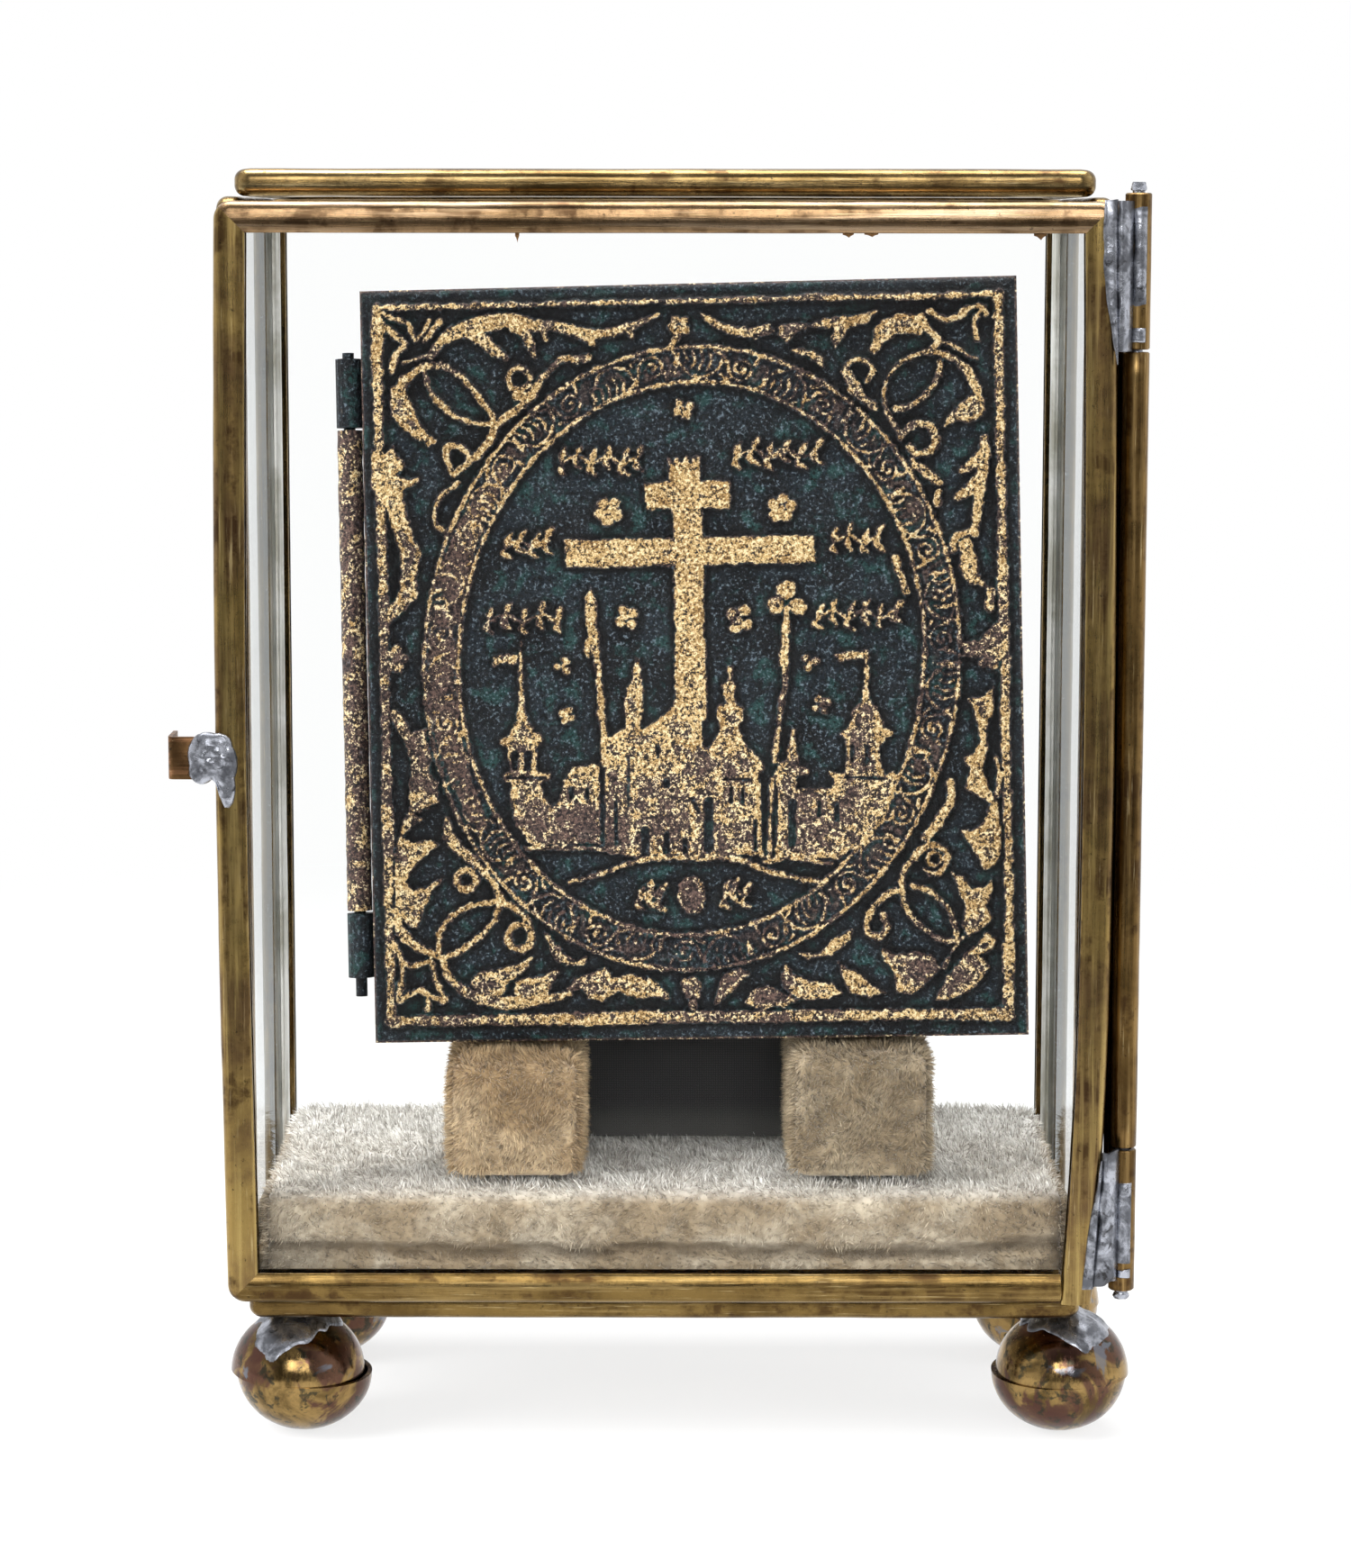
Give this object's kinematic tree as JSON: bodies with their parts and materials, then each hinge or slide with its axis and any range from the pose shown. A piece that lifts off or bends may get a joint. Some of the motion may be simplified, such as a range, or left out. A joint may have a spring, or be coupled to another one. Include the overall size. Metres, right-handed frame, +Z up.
{
  "type": "folding travel icon",
  "caption": "Folding cast-bronze travel icon with a hinged front leaf, standing on velvet blocks in a brass and glass display case with a hinged door and ball feet",
  "frame": {"origin": "Middle of the whole object's footprint, on the surface that its feet stand on", "axes": "+X to the viewer's right, the hinge side; +Y to the back, so the door faces -Y; +Z up"},
  "size_m": [0.1372, 0.0636, 0.1824],
  "materials": {
    "brass_channel": "aged folded brass channel, streaked brown and gold",
    "hinge_tube": "aged brass tube, darker than the channel",
    "pressed_foot": "pressed brass dome, tarnished red-brown with solder stains",
    "solder": "dull grey soft solder, lumpy",
    "glass_pane": "clear window glass with pale edges",
    "velvet": "greige cut-pile velvet",
    "dark_board": "near-black satin",
    "icon_bronze": "dark blue-green patina with worn gold relief",
    "icon_pin": "dark bronze wire"
  },
  "bodies": {
    "case_body": {"back_rail_bottom": "brass_channel", "back_rail_right": "brass_channel", "back_rail_top": "brass_channel", "back_rail_left": "brass_channel", "back_glass": "glass_pane", "left_rail_bottom": "brass_channel", "left_rail_back": "brass_channel", "left_rail_top": "brass_channel", "left_rail_front": "brass_channel", "left_glass": "glass_pane", "right_rail_bottom": "brass_channel", "right_rail_back": "brass_channel", "right_rail_top": "brass_channel", "right_rail_front": "brass_channel", "right_glass": "glass_pane", "floor_rail_back": "brass_channel", "floor_rail_right": "brass_channel", "floor_rail_front": "brass_channel", "floor_rail_left": "brass_channel", "floor_glass": "glass_pane", "top_rail_back": "brass_channel", "top_rail_right": "brass_channel", "top_rail_front": "brass_channel", "top_rail_left": "brass_channel", "top_glass": "glass_pane", "hinge_barrel": "hinge_tube", "hinge_pin": "solder", "hinge_solder_barrel": "solder", "foot_front_left_lower": "pressed_foot", "foot_front_left_upper": "pressed_foot", "foot_front_left_solder": "solder", "foot_front_right_lower": "pressed_foot", "foot_front_right_upper": "pressed_foot", "foot_front_right_solder": "solder", "foot_back_left_lower": "pressed_foot", "foot_back_left_upper": "pressed_foot", "foot_back_left_solder": "solder", "foot_back_right_lower": "pressed_foot", "foot_back_right_upper": "pressed_foot", "foot_back_right_solder": "solder", "velvet_base": "velvet", "velvet_block_left": "velvet", "velvet_block_right": "velvet", "back_rest_board": "dark_board", "icon_rear_leaf": "icon_bronze", "icon_pin": "icon_pin"},
    "door": {"door_rail_bottom": "brass_channel", "door_rail_right": "brass_channel", "door_rail_top": "brass_channel", "door_rail_left": "brass_channel", "door_glass": "glass_pane", "hinge_knuckle_upper": "hinge_tube", "hinge_knuckle_lower": "hinge_tube", "hinge_solder_upper": "solder", "hinge_solder_lower": "solder", "door_catch": "brass_channel", "catch_solder": "solder"},
    "icon_leaf": {"icon_front_leaf": "icon_bronze"}
  },
  "joints": [
    {"name": "door_hinge", "type": "hinge", "parent": "case_body", "child": "door", "pos_m": [0.06675, -0.02565, 0.1], "axis": [0, 0, 1], "range_deg": [0, 180]},
    {"name": "icon_leaf_hinge", "type": "hinge", "parent": "case_body", "child": "icon_leaf", "pos_m": [-0.0432, -0.00942, 0.0559], "axis": [0.0203, -0.0989, -0.9949], "range_deg": [0, 54]}
  ],
  "couplings": [
    {"joint": "icon_leaf_hinge", "follows": "door_hinge", "ratio": 0.3}
  ]
}
